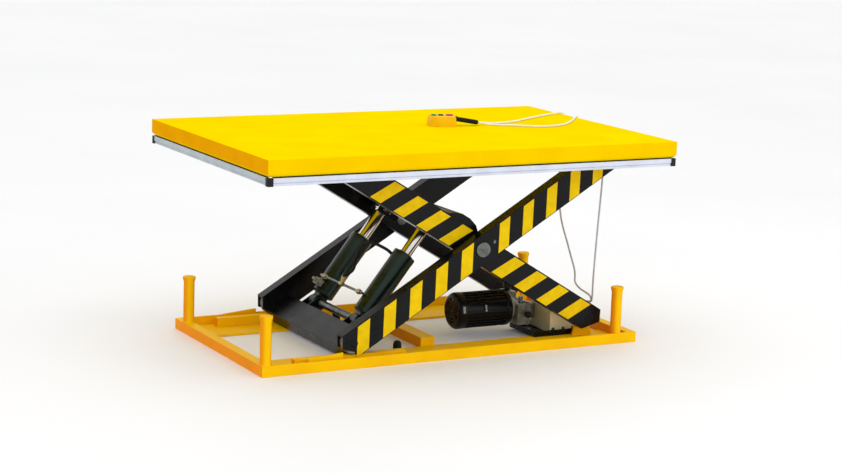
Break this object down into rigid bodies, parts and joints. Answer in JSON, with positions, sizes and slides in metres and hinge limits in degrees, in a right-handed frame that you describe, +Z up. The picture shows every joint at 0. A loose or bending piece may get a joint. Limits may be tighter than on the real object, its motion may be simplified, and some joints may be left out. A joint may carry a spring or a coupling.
{
  "type": "scissor lift table",
  "caption": "Hydraulic lift table: a flat skirted platform raised by a crossed-arm scissor and two rams on an open base frame, with a motor pump pack and a corded control box.",
  "frame": {"origin": "on the floor plane at the middle of the base, on the underside of the middle cross member", "axes": "+X along the table towards the fixed arm pivots, +Y across it away from the motor side, +Z up"},
  "size_m": [1.7173, 1.1, 0.8513],
  "materials": {
    "yellow_paint": "semi-gloss powder coat",
    "black_paint": "gloss enamel",
    "machined_steel": "turned, lightly oiled",
    "hard_chrome": "polished hard chrome",
    "bar_aluminium": "satin anodised extrusion",
    "cast_aluminium": "as cast, milled faces",
    "black_rubber": "moulded",
    "black_plastic": "moulded, fine texture",
    "cream_paint": "satin enamel",
    "grey_sheath": "smooth cable sheath",
    "pendant_yellow": "moulded, fine texture",
    "button_green": "moulded",
    "button_black": "moulded",
    "signal_red": "moulded"
  },
  "bodies": {
    "base": {"base_frame": "yellow_paint", "corner_post_left_near": "yellow_paint", "corner_post_left_far": "yellow_paint", "corner_post_right_near": "yellow_paint", "corner_post_right_far": "yellow_paint", "buffer_near": "black_rubber", "buffer_far": "black_rubber", "lower_pivot_pin_near": "black_paint", "lower_pivot_pin_far": "black_paint", "pump_tray": "black_paint", "motor_housing": "black_paint", "motor_fan_cover": "black_paint", "terminal_box": "black_paint", "pump_manifold": "cast_aluminium", "solenoid_valve": "black_plastic", "oil_tank": "cream_paint", "filler_cap": "black_plastic", "hanging_cables": "grey_sheath"},
    "rotor": {"motor_rotor": "machined_steel"},
    "knob": {"lowering_knob": "black_plastic"},
    "inner_frame": {"inner_arm_near": "black_paint", "inner_arm_far": "black_paint", "upper_axle_near": "machined_steel", "upper_axle_far": "machined_steel", "cylinder_cross_beam": "black_paint"},
    "upper_wheel_near": {"upper_roller_near": "machined_steel"},
    "upper_wheel_far": {"upper_roller_far": "machined_steel"},
    "outer_frame": {"outer_arm_near": "black_paint", "outer_arm_far": "black_paint", "lower_axle_near": "black_paint", "lower_axle_far": "black_paint", "centre_pin_near": "machined_steel", "centre_pin_far": "machined_steel", "torsion_beam": "black_paint", "ram_foot_shaft": "machined_steel"},
    "lower_wheel_near": {"lower_roller_near": "machined_steel"},
    "lower_wheel_far": {"lower_roller_far": "machined_steel"},
    "barrels": {"ram_barrel_near": "black_paint", "ram_barrel_far": "black_paint", "ram_link_pipe": "machined_steel"},
    "rods": {"ram_rod_near": "hard_chrome", "ram_rod_far": "hard_chrome", "ram_head_pin_near": "machined_steel", "ram_head_pin_far": "machined_steel"},
    "platform": {"platform_deck": "yellow_paint", "upper_pivot_pin_near": "machined_steel", "upper_pivot_pin_far": "machined_steel", "pendant_case": "pendant_yellow", "pendant_cables": "grey_sheath"},
    "safety_frame": {"safety_bar_near": "bar_aluminium", "safety_bar_far": "bar_aluminium", "safety_bar_left": "bar_aluminium", "safety_bar_right": "bar_aluminium", "bar_corner_left_near": "black_plastic", "bar_corner_left_far": "black_plastic", "bar_corner_right_near": "black_plastic", "bar_corner_right_far": "black_plastic"},
    "up_button": {"button_up": "button_green"},
    "down_button": {"button_down": "button_black"},
    "stop_button": {"button_stop": "signal_red"}
  },
  "joints": [
    {"name": "lift", "type": "hinge", "parent": "base", "child": "inner_frame", "pos_m": [0.64, 0, 0.086], "axis": [0, 1, 0], "range_deg": [-28.32, 0], "deforming": ["hanging_cables"]},
    {"name": "centre_pivot", "type": "hinge", "parent": "inner_frame", "child": "outer_frame", "pos_m": [0.11284, 0, 0.40275], "axis": [0, 1, 0], "range_deg": [0, 56.65]},
    {"name": "platform_pivot", "type": "hinge", "parent": "outer_frame", "child": "platform", "pos_m": [0.64, 0, 0.7195], "axis": [0, 1, 0], "range_deg": [-28.33, 0]},
    {"name": "ram_swing", "type": "hinge", "parent": "outer_frame", "child": "barrels", "pos_m": [-0.29926, 0, 0.1178], "axis": [0, 1, 0], "range_deg": [0, 13.6]},
    {"name": "ram_stroke", "type": "slide", "parent": "barrels", "child": "rods", "axis": [0.6147, 0, 0.7888], "range_m": [-0.1073, 0]},
    {"name": "upper_roller_spin_near", "type": "hinge", "parent": "inner_frame", "child": "upper_wheel_near", "pos_m": [-0.41432, -0.297, 0.7195], "axis": [0, 1, 0], "continuous": true},
    {"name": "upper_roller_spin_far", "type": "hinge", "parent": "inner_frame", "child": "upper_wheel_far", "pos_m": [-0.41432, 0.297, 0.7195], "axis": [0, 1, 0], "continuous": true},
    {"name": "lower_roller_spin_near", "type": "hinge", "parent": "outer_frame", "child": "lower_wheel_near", "pos_m": [-0.41432, -0.358, 0.086], "axis": [0, 1, 0], "continuous": true},
    {"name": "lower_roller_spin_far", "type": "hinge", "parent": "outer_frame", "child": "lower_wheel_far", "pos_m": [-0.41432, 0.358, 0.086], "axis": [0, 1, 0], "continuous": true},
    {"name": "safety_bar_press", "type": "slide", "parent": "platform", "child": "safety_frame", "axis": [0, 0, 1], "range_m": [0, 0.003], "stiffness_N_per_m": 8000},
    {"name": "motor_spin", "type": "hinge", "parent": "base", "child": "rotor", "pos_m": [0.28, -0.1, 0.105], "axis": [1, 0, 0], "continuous": true},
    {"name": "lowering_knob_turn", "type": "hinge", "parent": "base", "child": "knob", "pos_m": [0.447, -0.165, 0.084], "axis": [0, -1, 0], "range_deg": [0, 90]},
    {"name": "button_up_press", "type": "slide", "parent": "platform", "child": "up_button", "axis": [0, 0, -1], "range_m": [0, 0.003], "stiffness_N_per_m": 900},
    {"name": "button_down_press", "type": "slide", "parent": "platform", "child": "down_button", "axis": [0, 0, -1], "range_m": [0, 0.003], "stiffness_N_per_m": 900},
    {"name": "button_stop_press", "type": "slide", "parent": "platform", "child": "stop_button", "axis": [0, 0, -1], "range_m": [0, 0.003], "stiffness_N_per_m": 900}
  ],
  "couplings": [
    {"joint": "centre_pivot", "follows": "lift", "ratio": -2},
    {"joint": "platform_pivot", "follows": "lift", "ratio": 1},
    {"joint": "ram_swing", "follows": "lift", "ratio": -0.47878},
    {"joint": "ram_stroke", "follows": "lift", "m_per_rad": 0.21682}
  ]
}
